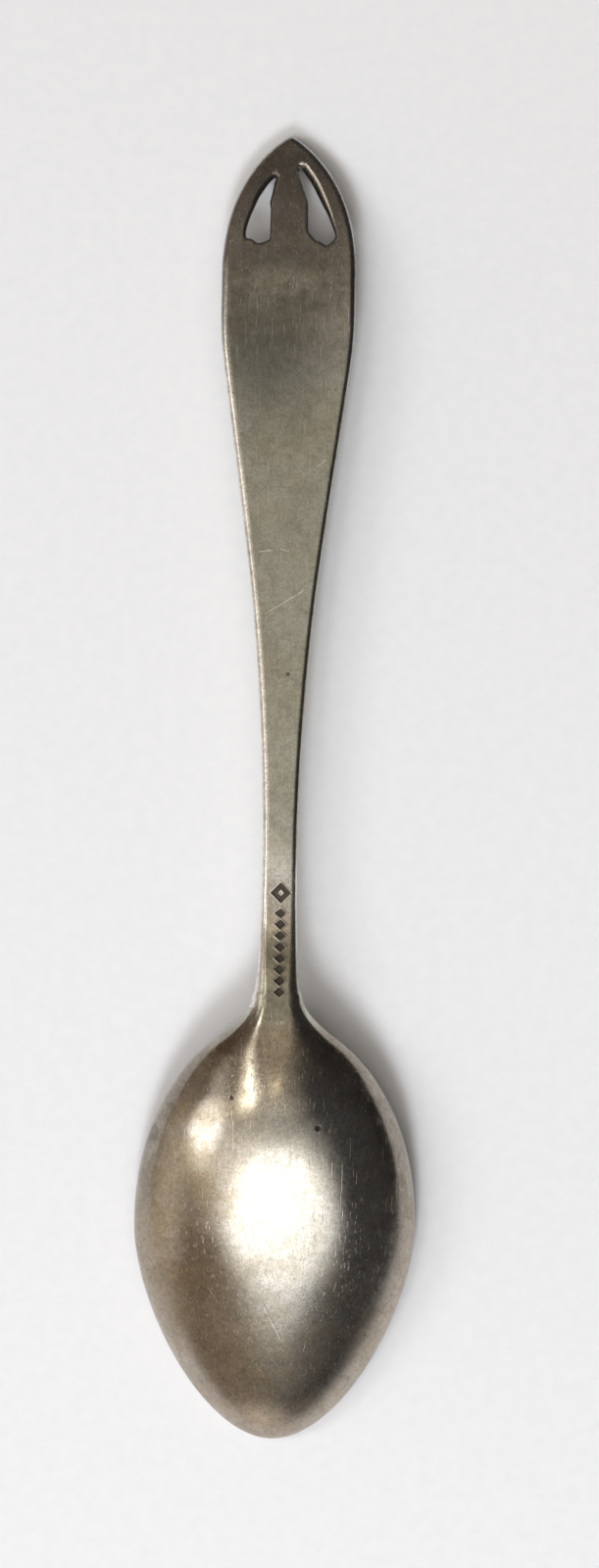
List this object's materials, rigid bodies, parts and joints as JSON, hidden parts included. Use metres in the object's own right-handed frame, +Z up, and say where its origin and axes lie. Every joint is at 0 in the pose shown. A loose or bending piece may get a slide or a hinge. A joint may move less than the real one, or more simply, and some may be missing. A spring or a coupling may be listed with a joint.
{
  "type": "souvenir spoon",
  "caption": "Small silver souvenir spoon, face down: oval bowl, slim stem, flared flat handle and a pierced pointed-arch finial with a tower between its openings.",
  "frame": {"origin": "centre of the bounding box on the table that the spoon lies on, face down", "axes": "+Y along the spoon towards the finial, +X to the right of the back as it is seen, +Z up out of the back"},
  "size_m": [0.0232, 0.108, 0.0085],
  "materials": {
    "bowl_silver": "polished silver, lightly tarnished",
    "stem_silver": "worn satin silver with fine scratches and brown tarnish",
    "finial_silver": "pierced silver with a darker tarnish"
  },
  "bodies": {
    "root": {"bowl": "bowl_silver", "shank": "stem_silver", "handle_blade": "stem_silver", "finial_arch": "finial_silver", "finial_tower": "finial_silver"}
  },
  "joints": []
}
